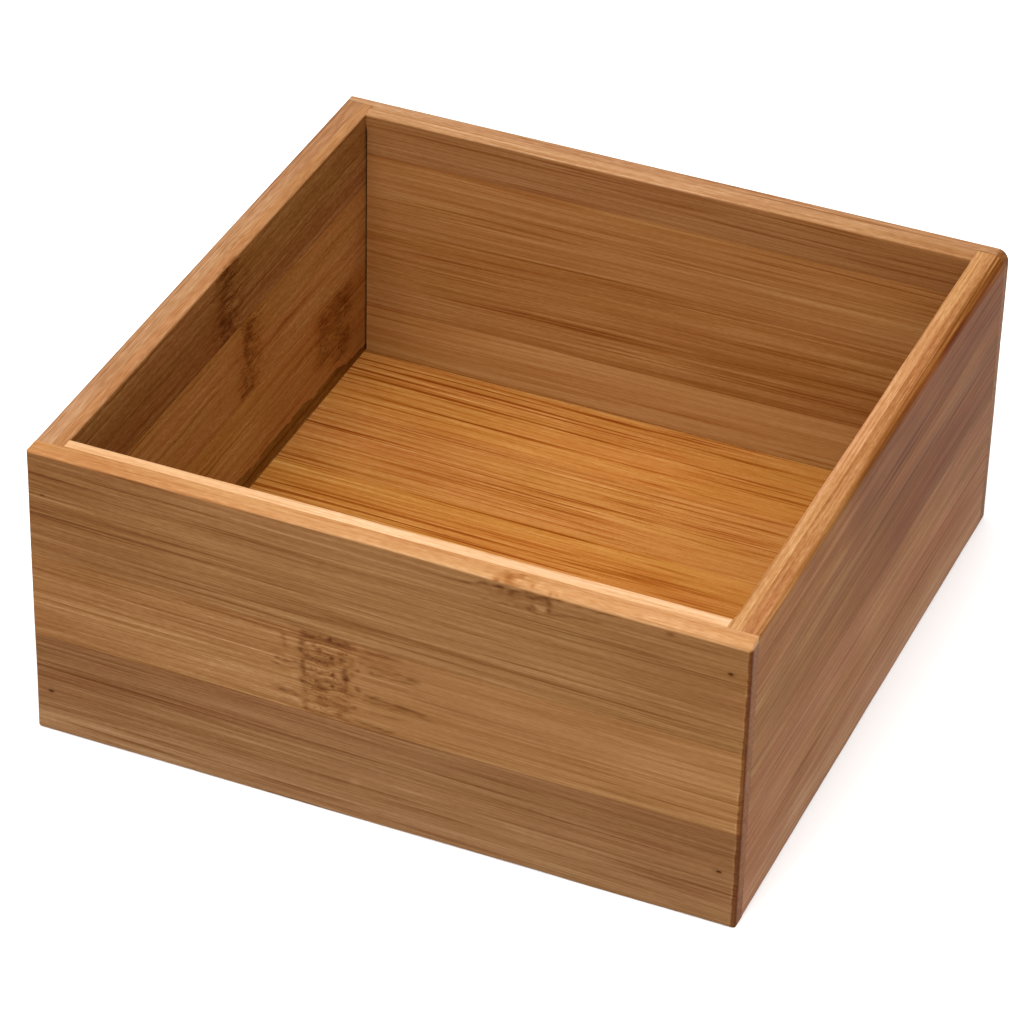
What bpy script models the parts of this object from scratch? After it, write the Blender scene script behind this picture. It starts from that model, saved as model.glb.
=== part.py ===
"""Open organizer box of bamboo boards: four walls, a floor let into them, and eight brads.

Metres, +Z up. The origin lies on the surface that the box stands on, under the middle of its
outline. X runs left to right along the front board, and Y runs from the front to the back.
"""
import math

import bmesh
import bpy
from mathutils import Vector

# Outside of the box, six inches square
box_width = 0.1524
box_depth = 0.1524
box_height = 0.0686

# Wall boards: the end boards are the front and the back one
end_board_thickness = 0.0070
side_board_thickness = 0.0064

# The end boards' outer layers, which lap over the ends of the side boards
front_lip_thickness = 0.0039
back_lip_thickness = 0.0031
glue_gap = 0.0003

# Floor panel, let into one groove that runs round the walls
floor_recess = 0.0028
floor_thickness = 0.0038
groove_depth = 0.0024
groove_clearance = 0.0003

# Edges eased with sandpaper, and the right rim, which was rounded more as far as the back corner
arris_radius = 0.0005
arris_steps = 2
round_profile_share = 0.5
right_rim_radius = 0.0020
right_rim_steps = 4

# Brads, with lost heads
brad_length = 0.0150
brad_shank_radius = 0.0005
brad_head_radius = 0.0007
brad_head_height = 0.0006
brad_point_length = 0.0015
brad_sink = 0.0004
brad_clearance = 0.0003
brad_sides = 12

# Where the brads were driven, by hand and so not evenly: how far over the floor and under the
# rim, and how far in from the end of the lip as a share of the side board behind it
left_brad_rise = 0.0034
left_brad_drop = 0.0100
right_brad_rise = 0.0064
right_brad_drop = 0.0077
left_brad_inset_share = 0.52
right_brad_inset_share = 0.62

# A cutter runs this far out of the wood, and points this close count as one place
cutter_overrun = 0.0020
same_place = 0.000001

half_width = box_width / 2
half_depth = box_depth / 2
inner_half_width = half_width - side_board_thickness
inner_half_depth = half_depth - end_board_thickness
floor_top = floor_recess + floor_thickness

FRONT, BACK = -1, 1
LEFT, RIGHT = -1, 1


def clear_scene():
    for obj in list(bpy.data.objects):
        bpy.data.objects.remove(obj, do_unlink=True)


def bamboo(name, colour):
    return finish(name, colour, roughness=0.45, metallic=0.0)


def finish(name, colour, roughness, metallic):
    material = bpy.data.materials.new(name)
    material.use_nodes = True
    shader = material.node_tree.nodes["Principled BSDF"]
    shader.inputs["Base Color"].default_value = (*colour, 1.0)
    shader.inputs["Roughness"].default_value = roughness
    shader.inputs["Metallic"].default_value = metallic
    material.diffuse_color = (*colour, 1.0)
    return material


def new_object(name, bm, material=None):
    """Move a bmesh into a new object in the scene, with its faces pointing outwards."""
    bmesh.ops.recalc_face_normals(bm, faces=bm.faces)
    mesh = bpy.data.meshes.new(name)
    bm.to_mesh(mesh)
    bm.free()
    if material is not None:
        mesh.materials.append(material)
    obj = bpy.data.objects.new(name, mesh)
    bpy.context.scene.collection.objects.link(obj)
    return obj


def as_cutter(obj):
    obj.hide_render = True
    obj.display_type = "WIRE"
    return obj


def extruded(plan, foot, top):
    """A prism on a plan outline, from the height foot up to the height top."""
    bm = bmesh.new()
    corners = [bm.verts.new((x, y, foot)) for x, y in plan]
    base = bm.faces.new(corners)
    raised = bmesh.ops.extrude_face_region(bm, geom=[base])
    lifted = [item for item in raised["geom"] if isinstance(item, bmesh.types.BMVert)]
    bmesh.ops.translate(bm, verts=lifted, vec=Vector((0, 0, top - foot)))
    return bm


def rectangle(low_x, high_x, low_y, high_y):
    return [(low_x, low_y), (high_x, low_y), (high_x, high_y), (low_x, high_y)]


def turned(profile, sides):
    """A solid of revolution about Z from (radius, height) points that start and end on the axis."""
    bm = bmesh.new()
    points = [bm.verts.new((radius, 0, height)) for radius, height in profile]
    outline = [bm.edges.new(pair) for pair in zip(points, points[1:])]
    bmesh.ops.spin(bm, geom=points + outline, axis=(0, 0, 1), cent=(0, 0, 0),
                   angle=math.tau, steps=sides, use_duplicate=False)
    bmesh.ops.remove_doubles(bm, verts=bm.verts, dist=same_place)
    return bm


def edges_at(bm, **planes):
    """The edges that lie in every plane given, such as x=half_width, z=box_height."""
    def lies_in(vert, axis, place):
        return abs(getattr(vert.co, axis) - place) < same_place
    return [edge for edge in bm.edges
            if all(lies_in(vert, axis, place)
                   for vert in edge.verts for axis, place in planes.items())]


def ease(bm, edges, radius, steps):
    bmesh.ops.bevel(bm, geom=edges, offset=radius, offset_type="OFFSET", segments=steps,
                    profile=round_profile_share, affect="EDGES", clamp_overlap=True)


def cut(obj, cutter):
    modifier = obj.modifiers.new(cutter.name, "BOOLEAN")
    modifier.operation = "DIFFERENCE"
    modifier.solver = "EXACT"
    modifier.object = cutter


def end_board(name, end, lip_thickness, material):
    """A front or back board: full width outside, and rebated at both ends for the side boards."""
    outside = end * half_depth
    lip = end * (half_depth - lip_thickness)
    inside = end * inner_half_depth
    shoulder = inner_half_width - glue_gap
    bm = extruded([(-half_width, outside), (half_width, outside), (half_width, lip),
                   (shoulder, lip), (shoulder, inside), (-shoulder, inside),
                   (-shoulder, lip), (-half_width, lip)], 0, box_height)
    if end == BACK:
        ease(bm, edges_at(bm, x=half_width, z=box_height), right_rim_radius, right_rim_steps)
    end_of_rounding = edges_at(bm, x=half_width - right_rim_radius, z=box_height)
    in_joint = edges_at(bm, y=lip) + edges_at(bm, x=shoulder) + edges_at(bm, x=-shoulder)
    left_sharp = in_joint + end_of_rounding + edges_at(bm, y=inside, z=0)
    exposed = edges_at(bm, y=outside) + edges_at(bm, z=box_height) + edges_at(bm, z=0)
    ease(bm, [edge for edge in bm.edges if edge in exposed and edge not in left_sharp],
         arris_radius, arris_steps)
    return new_object(name, bm, material)


def side_board(name, side, material):
    """A plain side board, which stands between the lips of the two end boards."""
    outside = side * half_width
    inside = side * inner_half_width
    front_end = front_lip_thickness + glue_gap - half_depth
    back_end = half_depth - back_lip_thickness - glue_gap
    bm = extruded(rectangle(min(outside, inside), max(outside, inside), front_end, back_end),
                  0, box_height)
    outer_rim = edges_at(bm, x=outside, z=box_height)
    plain = edges_at(bm, x=inside, z=box_height) + edges_at(bm, x=outside, z=0)
    if side == RIGHT:
        ease(bm, outer_rim, right_rim_radius, right_rim_steps)
    else:
        plain = plain + outer_rim
    ease(bm, plain, arris_radius, arris_steps)
    return new_object(name, bm, material)


def floor_slab(name, grown, material=None):
    """The floor panel, or with its clearance added all round the space that its groove takes."""
    reach = groove_depth - groove_clearance + grown
    reach_x = inner_half_width + reach
    reach_y = inner_half_depth + reach
    bm = extruded(rectangle(-reach_x, reach_x, -reach_y, reach_y),
                  floor_recess - grown, floor_top + grown)
    return new_object(name, bm, material)


def brad_profile():
    """From the middle of the head down to the point, along -Z."""
    shank_end = brad_length - brad_point_length
    return [(0, 0), (brad_head_radius, 0), (brad_head_radius, -brad_head_height),
            (brad_shank_radius, -brad_head_height), (brad_shank_radius, -shank_end),
            (0, -brad_length)]


def pilot_profile():
    """The brad's own form grown by its clearance, open past the face of the board."""
    head = brad_head_radius + brad_clearance
    shank = brad_shank_radius + brad_clearance
    seat = brad_head_height + brad_clearance
    end = brad_length + brad_clearance
    return [(0, cutter_overrun), (head, cutter_overrun), (head, -seat), (shank, -seat),
            (shank, -end), (0, -end)]


def drive(obj, end, x, z):
    """Set a brad or its pilot into an end board's face, pointing into the side board's end."""
    obj.location = (x, end * (half_depth - brad_sink), z)
    obj.rotation_euler = (-end * math.pi / 2, 0, 0)


clear_scene()

boards = {
    "front_board": end_board("front_board", FRONT, front_lip_thickness,
                             bamboo("front_bamboo", (0.36, 0.18, 0.07))),
    "back_board": end_board("back_board", BACK, back_lip_thickness,
                            bamboo("back_bamboo", (0.35, 0.16, 0.06))),
    "left_side_board": side_board("left_side_board", LEFT, bamboo("left_bamboo", (0.31, 0.14, 0.05))),
    "right_side_board": side_board("right_side_board", RIGHT, bamboo("right_bamboo", (0.33, 0.17, 0.09))),
}
floor_slab("floor_panel", 0, bamboo("floor_bamboo", (0.50, 0.21, 0.04)))

groove = as_cutter(floor_slab("groove_cutter", groove_clearance))
for board in boards.values():
    cut(board, groove)

brad_steel = finish("brad_steel", (0.10, 0.08, 0.07), roughness=0.5, metallic=1.0)
brad = turned(brad_profile(), brad_sides)
bmesh.ops.recalc_face_normals(brad, faces=brad.faces)
brad_mesh = bpy.data.meshes.new("brad")
brad.to_mesh(brad_mesh)
brad.free()
brad_mesh.materials.append(brad_steel)
brad_mesh.shade_smooth()
brad_mesh.set_sharp_from_angle(angle=math.radians(30))

ends = {"front": FRONT, "back": BACK}
sides = {
    "left": (LEFT, left_brad_inset_share, left_brad_rise, left_brad_drop),
    "right": (RIGHT, right_brad_inset_share, right_brad_rise, right_brad_drop),
}
for end_name, end in ends.items():
    for side_name, (side, inset_share, rise, drop) in sides.items():
        x = side * (half_width - inset_share * side_board_thickness)
        heights = {"lower": floor_top + rise, "upper": box_height - drop}
        for height_name, z in heights.items():
            place = f"{end_name}_{side_name}_{height_name}"
            nail = bpy.data.objects.new(f"brad_{place}", brad_mesh)
            bpy.context.scene.collection.objects.link(nail)
            drive(nail, end, x, z)
            pilot = as_cutter(new_object(f"pilot_{place}", turned(pilot_profile(), brad_sides)))
            drive(pilot, end, x, z)
            cut(boards[f"{end_name}_board"], pilot)
            cut(boards[f"{side_name}_side_board"], pilot)
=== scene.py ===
"""Looks of the open organizer box: four walls of pressed bamboo, a floor panel and eight brads.

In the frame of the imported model: X runs left to right along the front board, Y from the front to
the back, and Z up from the surface that the box stands on. The pieces of the box are worked out in
millimetres, and their points go into the meshes in metres.
"""
import math

import bmesh
import bpy
import numpy as np
from mathutils import Matrix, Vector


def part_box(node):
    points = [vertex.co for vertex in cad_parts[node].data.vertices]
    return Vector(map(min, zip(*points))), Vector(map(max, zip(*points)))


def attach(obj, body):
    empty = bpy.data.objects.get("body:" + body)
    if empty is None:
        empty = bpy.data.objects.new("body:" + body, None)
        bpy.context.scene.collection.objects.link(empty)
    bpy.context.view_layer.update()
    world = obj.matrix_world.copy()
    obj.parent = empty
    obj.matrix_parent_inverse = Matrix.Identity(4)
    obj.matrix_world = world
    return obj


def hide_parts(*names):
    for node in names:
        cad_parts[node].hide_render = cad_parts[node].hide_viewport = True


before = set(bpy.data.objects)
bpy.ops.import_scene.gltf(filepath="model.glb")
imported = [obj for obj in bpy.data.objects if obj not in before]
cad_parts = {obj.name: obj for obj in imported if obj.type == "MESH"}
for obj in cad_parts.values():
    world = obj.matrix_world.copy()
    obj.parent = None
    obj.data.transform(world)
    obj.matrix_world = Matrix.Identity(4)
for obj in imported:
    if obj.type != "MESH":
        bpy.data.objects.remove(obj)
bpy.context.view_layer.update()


# The table it stands on, and the light. A plain white table top, and soft white light from wide
# panels overhead and on all four sides, the strongest at the front. The camera looks down at the
# front right corner from about a metre away.
def show(name, data):
    """Puts a camera, a light or a mesh into the scene."""
    thing = bpy.data.objects.new(name, data)
    bpy.context.scene.collection.objects.link(thing)
    return thing


def new_material(name, **values):
    """A material, its node tree and its shader, whose inputs are named with _ for a space."""
    material = bpy.data.materials.new(name)
    material.use_nodes = True
    shader = material.node_tree.nodes["Principled BSDF"]
    for socket, value in values.items():
        shader.inputs[socket.replace("_", " ")].default_value = value
    return material, material.node_tree, shader


camera_place = (0.29471, -0.72514, 0.58409)
camera_right = (0.91836, 0.39518, 0.02086)
camera_up = (-0.24468, 0.52559, 0.81479)
camera_back = (0.31103, -0.75338, 0.57938)

camera_lens = bpy.data.cameras.new("camera")
camera_lens.lens = 162.815
camera_lens.sensor_width = 36.0
camera_lens.clip_start = 0.01
camera = show("camera", camera_lens)
turned = Matrix((camera_right, camera_up, camera_back)).transposed()
camera.matrix_world = Matrix.Translation(camera_place) @ turned.to_4x4()
bpy.context.scene.camera = camera
bpy.context.scene.view_settings.view_transform = "Standard"

room = bpy.data.worlds.new("room")
room.use_nodes = True
bpy.context.scene.world = room
room.node_tree.nodes["Background"].inputs["Color"].default_value = (1.0, 0.99, 0.98, 1.0)
room.node_tree.nodes["Background"].inputs["Strength"].default_value = 0.4


def light_panel(name, place, size, power):
    """A square panel light of that size at place, turned so that it shines on the box."""
    lamp = bpy.data.lights.new(name, "AREA")
    lamp.shape = "SQUARE"
    lamp.size = size
    lamp.energy = power
    panel = show(name, lamp)
    away = np.array(place) - box_middle
    away = away / np.linalg.norm(away)
    across = np.cross((0.0, 1.0, 0.0), away)
    across = across / np.linalg.norm(across)
    turn = Matrix((across, np.cross(away, across), away)).transposed()
    panel.matrix_world = Matrix.Translation(place) @ turn.to_4x4()
    panel.visible_camera = False


box_middle = np.array((0.0, 0.0, 0.04))
light_panel("overhead_panel", (0.0, -0.02, 1.3), 0.9, 6.6)
light_panel("front_panel", (0.0, -0.8, 1.1), 0.7, 11.4)
light_panel("left_panel", (-0.8, 0.0, 1.1), 0.7, 8.2)
light_panel("right_panel", (0.8, 0.0, 1.1), 0.7, 6.7)
light_panel("back_panel", (0.0, 0.8, 1.1), 0.7, 2.8)
light_panel("low_front_panel", (0.1, -1.4, 0.45), 0.8, 5.4)

table_reach = 4.0
table_white = new_material("table_white", Base_Color=(0.87, 0.87, 0.87, 1.0), Roughness=0.9,
                           Specular_IOR_Level=0.0)[0]
table_mesh = bpy.data.meshes.new("table_top")
table_mesh.from_pydata([(-table_reach, -table_reach, 0.0), (table_reach, -table_reach, 0.0),
                        (table_reach, table_reach, 0.0), (-table_reach, table_reach, 0.0)],
                       [], [(0, 1, 2, 3)])
table_mesh.materials.append(table_white)
show("table_top", table_mesh)


# The front board. Seven millimetres of pressed bamboo: an outer layer of about 4 mm glued over a
# paler inner one of about 3 mm, each of strips 22 mm wide. Its ends are rebated, so the outer layer
# laps over the side boards' ends, and it is grooved near its foot for the floor panel.
def corners_of(node):
    """The lowest and the highest corner of a node of the frame, in millimetres."""
    return [np.array(corner) * 1000.0 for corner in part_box(node)]


box_low, box_high = corners_of("front_board")
panel_low, panel_high = corners_of("floor_panel")
side_low, side_high = corners_of("left_side_board")
half_width = box_high[0]
half_depth = -box_low[1]
rim = box_high[2]
wall_thickness = box_high[1] - box_low[1]
fit = 0.3
front_lip = side_low[1] - fit - box_low[1]
back_lip = half_depth - side_high[1] - fit
side_inside = -side_high[0]
top_fit = 0.4 * fit                 # closer than in the solids, because no gap shows over the floor
groove_foot, groove_top = panel_low[2] - fit, panel_high[2] + top_fit
groove_depth = panel_high[0] + fit - side_inside
arris = 0.5
hairline = 0.03
lap = 0.15
strip_width = 22.0
inner_first, ramp_length = 8, 16


def spaced(low, high, step, close=()):
    """Places from low to high, step apart, and closer near each (place, reach, fine step).

    The number of lines per millimetre is summed from low to high, and the places are where that
    sum passes each whole number.
    """
    fine = np.linspace(low, high, 6001)
    lines = np.full(fine.shape, 1.0 / step)
    for place, reach, fine_step in close:
        lines = np.maximum(lines, 1.0 / fine_step / (1.0 + ((fine - place) / reach) ** 4))
    total = np.concatenate([[0.0], np.cumsum((lines[1:] + lines[:-1]) / 2 * np.diff(fine))])
    return np.interp(np.linspace(0.0, total[-1], math.ceil(total[-1]) + 1), total, fine)


def outline(sides):
    """Points along a closed outline of straight sides, which starts at the last side's corner. A
    side is (the corner it runs to, step, closer places counted from its start)."""
    start, points = np.array(sides[-1][0]), []
    for corner, step, close in sides:
        run = np.array(corner) - start
        length = np.linalg.norm(run)
        points.append(start + spaced(0.0, length, step, close)[:-1, None] / length * run)
        start = np.array(corner)
    return np.concatenate(points)


def board_outline(thickness, layer, outer_step, inner_step, outer_close=(), rim_close=()):
    """A board's section in (depth from its outer face, height), with the groove in its inner face."""
    sharp = (arris, arris / 6)
    start = (0.0, *sharp)
    groove = thickness - groove_depth
    return outline([
        ((0.0, rim), outer_step, [start, (rim, *sharp), *outer_close]),
        ((layer - hairline, rim), 0.5, [start, *rim_close]),
        ((layer, rim), 0.5, []),
        ((thickness, rim), 0.5, [(thickness - layer, *sharp)]),
        ((thickness, groove_top), inner_step, [start]),
        ((groove, groove_top), 0.8, [(0.0, 0.6, 0.2)]),
        ((groove, groove_foot), 0.9, []),
        ((thickness, groove_foot), 0.8, []),
        ((thickness, 0.0), 0.8, [(groove_foot, *sharp)]),
        ((0.0, 0.0), 0.8, [start, (thickness, *sharp)])])


def rise(low, high, value):
    """Zero up to low, one from high on, and 3t^2 - 2t^3 between them; it falls if high is lower."""
    share = np.clip((value - low) / (high - low), 0.0, 1.0)
    return share * share * (3.0 - 2.0 * share)


def between(low, high, edge, value):
    """One from low to high, and zero outside, with smooth steps as wide as edge centred on both."""
    half = edge / 2
    return rise(low - half, low + half, value) * (1.0 - rise(high - half, high + half, value))


def bell(off, reach):
    """One at off = 0, falling as a bell curve on both sides of it."""
    return np.exp(-(off / reach) ** 2)


def spot(along, across, place, height, length, width):
    """One at (place, height), falling as a bell curve over an oval of that half length and width."""
    return bell(np.hypot((along - place) / length, (across - height) / width), 1.0)


def drift(along, across, seed, lattice_size=257):
    """Smooth random heights from -1 to 1: values on a square lattice, blended between by smooth steps."""
    lattice = np.random.default_rng(seed).uniform(-1.0, 1.0, (lattice_size, lattice_size))
    column, row = np.floor(along).astype(int), np.floor(across).astype(int)
    across_share = rise(0.0, 1.0, across - row)
    along_share = rise(0.0, 1.0, along - column)
    value = [[lattice[(column + i) % lattice_size, (row + j) % lattice_size] for j in (0, 1)]
             for i in (0, 1)]
    near = value[0][0] + (value[0][1] - value[0][0]) * across_share
    far = value[1][0] + (value[1][1] - value[1][0]) * across_share
    return near + (far - near) * along_share


def eased(points, pair, low, high, radius):
    """Sands round the edges that run along the third axis, on a block from low to high.

    Past the block drawn in by the radius, a point keeps its larger offset on the pair of axes as
    its distance from the drawn-in corner, so that each edge becomes a quarter of a circle.
    """
    flat = points[..., pair]
    nearest = np.clip(flat, np.array(low) + radius[..., None], np.array(high) - radius[..., None])
    past = flat - nearest
    length = np.linalg.norm(past, axis=-1, keepdims=True)
    moved = points.copy()
    moved[..., pair] = nearest + past * np.abs(past).max(axis=-1, keepdims=True) / np.maximum(length, 1e-6)
    return moved


def skin(name, rings):
    """A closed surface over rings of points: four-sided faces between each ring and the next, and a
    flat face on the first and on the last."""
    count, around = rings.shape[:2]
    corner = np.arange(count * around).reshape(count, around)
    first, second = corner[:-1], corner[1:]
    faces = np.stack([first, np.roll(first, -1, 1), np.roll(second, -1, 1), second], axis=-1)
    mesh = bpy.data.meshes.new(name)
    mesh.from_pydata(rings.reshape(-1, 3) / 1000.0, [],
                     faces.reshape(-1, 4).tolist() + [corner[0].tolist(), corner[-1].tolist()])
    work = bmesh.new()
    work.from_mesh(mesh)
    bmesh.ops.remove_doubles(work, verts=work.verts, dist=0.000002)
    bmesh.ops.recalc_face_normals(work, faces=work.faces)
    work.to_mesh(mesh)
    work.free()
    mesh.shade_smooth()
    mesh.set_sharp_from_angle(angle=math.radians(40))
    return mesh


def places_of(mesh):
    """The mesh's points, in millimetres."""
    places = np.empty(len(mesh.vertices) * 3)
    mesh.vertices.foreach_get("co", places)
    return places.reshape(-1, 3) * 1000.0


def raise_relief(mesh, heights):
    """Moves each point of the mesh along its own normal by its height, and never outwards."""
    normals = np.empty(len(mesh.vertices) * 3)
    mesh.vertices.foreach_get("normal", normals)
    places = places_of(mesh) + normals.reshape(-1, 3) * np.minimum(heights, 0.0)[:, None]
    places[:, 2] = np.clip(places[:, 2], 0.0, rim)
    mesh.vertices.foreach_set("co", places.ravel() / 1000.0)
    mesh.update()


def store(mesh, **values):
    """Keeps a number or a vector for each point of the mesh, for the material to read. One that
    isn't kept reads as zero."""
    for name, value in values.items():
        kind, field = ("FLOAT", "value") if value.ndim == 1 else ("FLOAT_VECTOR", "vector")
        kept = mesh.attributes.new(name, kind, "POINT")
        kept.data.foreach_set(field, value.astype(np.float32).ravel())


def strip_number(along, across, outer, outer_seams, inner_seams):
    """Which strip a point lies in, as a number that runs straight from one seam to the next: from 0
    at the foot of the outer layer and from 8 at the foot of the inner one. A seam is (height in the
    middle of the board, slope)."""
    number = np.where(outer, 0.0, inner_first)
    for in_layer, seams in ((outer, outer_seams), (~outer, inner_seams)):
        lines = [height + slope * along for height, slope in [(0.0, 0.0), *seams, (rim + 0.2, 0.0)]]
        for low, high in zip(lines, lines[1:]):
            number += in_layer * np.clip((across - low) / (high - low), 0.0, 1.0)
    return number


def planed_relief(along, across, number, seed):
    """What the planer leaves: long shallow waves, ripples that run with the fibres, and at each glue
    line, where the strip number is whole, a bell-shaped furrow."""
    waves = 0.016 * (drift(along / 31, across / 9, seed) - 1.0)
    ripples = 0.006 * (drift(along / 8, across / 1.3, seed + 1) - 1.0)
    off_seam = np.abs(number - np.round(number)) * strip_width
    inside = np.abs(np.round(number) % inner_first) > 0.5
    return waves + ripples - 0.03 * bell(off_seam, 0.16) * inside


def strokes(along, across, marks, seed):
    """The marks in a node: each a bell-shaped band about a straight line, which wanders off it and
    thins out at random. A mark is (from along, from across, to along, to across, darkness, half
    width); a pale mark has a darkness below zero."""
    wander = 0.2 * drift(along / 1.6, across / 2.2, seed) + 0.16 * drift(along / 0.8, across / 0.7, seed + 2)
    ragged = 0.8 + 0.6 * drift(along / 1.1, across / 0.7, seed + 1)
    total = np.zeros_like(along)
    for start_along, start_across, end_along, end_across, dark, width in marks:
        run_along, run_across = end_along - start_along, end_across - start_across
        length = math.hypot(run_along, run_across)
        reach = ((along - start_along) * run_along + (across - start_across) * run_across) / length
        off = ((across - start_across) * run_along - (along - start_along) * run_across) / length
        total += dark * ragged * bell(off + wander, width) * between(0.0, length, 1.0, reach)
    return total


def stray_fibres(along, across, place, reach, seed):
    """Near a node the fibres stray: the shift along them, and a smaller one across them."""
    near = bell(along - place, reach)
    shift_along = 12.0 * near * drift(along / 3.0, across / 1.2, seed + 1)
    return shift_along, 0.6 * near * drift(along / 4.2, across / 3.1, seed)


def rim_mask(height, reach=0.4):
    """One on the sanded rim, where the strips show their paler edges, and zero on the broad faces,
    which end as far below the rim as the sanding reached."""
    return rise(rim - reach, rim - 0.6 * reach, height)


def face_mask(below, reach=1.2):
    """One on a broad face, and zero that far below it, so that its marks end at its edges."""
    return rise(reach, reach / 2, below)


def add_node(tree, kind, inputs=(), **settings):
    """Adds a shading node, with its settings, and links or sets its inputs by name or place."""
    node = tree.nodes.new("ShaderNode" + kind)
    for name, value in settings.items():
        setattr(node, name, value)
    for key, value in dict(inputs).items():
        if isinstance(value, bpy.types.NodeSocket):
            tree.links.new(value, node.inputs[key])
        else:
            node.inputs[key].default_value = value
    return node


def worked_out(tree, operation, first, second=0.0):
    """The socket of one step of arithmetic."""
    return add_node(tree, "Math", {0: first, 1: second}, operation=operation).outputs[0]


def ranged(tree, value, low, high, low_result=0.0, high_result=1.0):
    """The value's place between low and high, held at both ends, as a place between the results."""
    return add_node(tree, "MapRange", {"Value": value, "From Min": low, "From Max": high,
                                       "To Min": low_result, "To Max": high_result}).outputs[0]


def sum_of(tree, parts, start=0.0):
    """Adds up pairs of (socket, weight), from a start."""
    total = start
    for socket, weight in parts:
        total = add_node(tree, "Math", {0: socket, 1: weight, 2: total}, operation="MULTIPLY_ADD").outputs[0]
    return total


def strip_colours(tree, strip, colours):
    """The colour of each strip by its number, held from one number up to the next."""
    ramp = add_node(tree, "ValToRGB", {"Fac": worked_out(tree, "MULTIPLY", strip, 1 / ramp_length)})
    ramp.color_ramp.interpolation = "CONSTANT"
    stops = ramp.color_ramp.elements
    for place, (number, colour) in enumerate(sorted(colours.items())):
        stop = stops[place] if place < 2 else stops.new(number / ramp_length)
        stop.position = number / ramp_length
        stop.color = (*colour, 1.0)
    return ramp.outputs[0]


def mixed(tree, share, first, second):
    """The first colour where the share is zero, and the second where it is one."""
    return add_node(tree, "Mix", {0: share, 6: first, 7: second}, data_type="RGBA").outputs[2]


def bamboo(name, faces, rims, ends, seed, tone=1.0, line_depth=0.2, line_size=(42.0, 0.62),
           fibre_run=18.0, grit_depth=0.2, tint=0.0022, gloss=0.5):
    """Pressed bamboo under satin lacquer.

    faces and rims give the colours of the strips by number, on their broad sides and on their
    sanded edges, and ends the colour of cut fibre ends. A colour is raised to a power above one
    where the fibres are dark and below one where they are pale, which also makes dark fibres
    redder. The power is one plus a sum of noises drawn out along the fibres: soft bands, streaks,
    fibres, grit, and thin dark lines that come in clusters, all times how busy the grain is there.
    The open pores of a sanded rim, the specks of a node, the seams, and the stains together with the
    painted shade and light kept with them come on top, and the shade darkens a place without making
    it redder. Soft patches lean by the tint to red or olive.
    """
    material, tree, shader = new_material(name, Specular_IOR_Level=0.03)
    grain = add_node(tree, "Attribute", attribute_name="grain").outputs["Vector"]
    # The stain attribute carries the wood's stains together with painted shade and painted light.
    strip, stain, shade, node, rim_share, end_share, busy = (
        add_node(tree, "Attribute", attribute_name=kept).outputs["Fac"]
        for kept in ("strip", "stain", "shade", "node", "rim", "end", "busy"))
    whole = worked_out(tree, "FLOOR", strip)
    shift = add_node(tree, "CombineXYZ", {0: worked_out(tree, "MULTIPLY", whole, 173.0), 1: seed * 31.0,
                                          2: worked_out(tree, "MULTIPLY", whole, 37.0)})
    fibre_place = add_node(tree, "VectorMath", {0: grain, 1: shift.outputs[0]}, operation="ADD").outputs[0]

    def fibre_noise(length, width, detail=1.0, roughness=0.5):
        """Noise on the grain's own places in millimetres, length along the fibres, width across."""
        scaled = add_node(tree, "VectorMath", {0: fibre_place, 1: (1 / length, 1 / width, 1 / width)},
                          operation="MULTIPLY").outputs[0]
        return add_node(tree, "TexNoise", {"Vector": scaled, "Scale": 1.0, "Detail": detail,
                                           "Roughness": roughness}).outputs[0]

    bands = fibre_noise(170.0, 4.5, 2.0)
    streaks = fibre_noise(60.0, 0.9, 2.0, 0.6)
    fibres = fibre_noise(fibre_run, 0.3, 2.0, 0.6)
    grit = fibre_noise(1.6, 0.24)
    soft = {bands: 0.18 * tone, streaks: 0.44 * tone, fibres: 0.42 * tone, grit: grit_depth * tone}
    pores = worked_out(tree, "MULTIPLY", worked_out(tree, "SUBTRACT", fibre_noise(2.4, 0.4), 0.5), rim_share)
    lines = worked_out(tree, "MULTIPLY", ranged(tree, fibre_noise(*line_size), 0.54, 0.67),
                       ranged(tree, fibre_noise(90.0, 5.0), 0.36, 0.56))
    specks = worked_out(tree, "MULTIPLY", ranged(tree, fibre_noise(1.6, 0.45), 0.5, 0.64), node)
    nearest_seam = worked_out(tree, "ROUND", strip)
    off_seam = worked_out(tree, "ABSOLUTE", worked_out(tree, "SUBTRACT", strip, nearest_seam))
    seam = ranged(tree, off_seam, 0.003, 0.011, 1.0, 0.0)
    power = sum_of(tree, [(noise, -weight) for noise, weight in soft.items()], 0.5 * sum(soft.values()))
    power = sum_of(tree, [(lines, line_depth)], power)
    power = sum_of(tree, [(power, busy), (pores, 0.34), (specks, 0.16), (seam, 0.05), (stain, 1.0)], 1.0)
    colour = mixed(tree, rim_share, strip_colours(tree, strip, faces), strip_colours(tree, strip, rims))
    colour = mixed(tree, end_share, colour, (*ends, 1.0))
    hue = ranged(tree, fibre_noise(60.0, 6.0), 0.3, 0.7, 0.5 - tint, 0.5 + tint)
    colour = add_node(tree, "HueSaturation", {
        "Hue": hue, "Value": worked_out(tree, "SUBTRACT", 1.0, shade), "Color": colour}).outputs[0]
    colour = add_node(tree, "Gamma", {"Color": colour, "Gamma": power}).outputs[0]
    tree.links.new(colour, shader.inputs["Base Color"])
    tree.links.new(ranged(tree, streaks, 0.3, 0.7, gloss + 0.06, gloss - 0.05), shader.inputs["Roughness"])
    height = sum_of(tree, [(fibres, 0.5), (streaks, 0.4), (lines, -0.6), (specks, -0.8), (seam, -0.5)])
    bump = add_node(tree, "Bump", {"Height": height, "Strength": 0.5, "Distance": 0.00005})
    tree.links.new(bump.outputs[0], shader.inputs["Normal"])
    return material


def stand_for(node, mesh, material):
    """Shows the mesh, under its own name, in place of its node of the frame."""
    mesh.materials.append(material)
    piece = show(mesh.name, mesh)
    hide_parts(node)
    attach(piece, "root")


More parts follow.
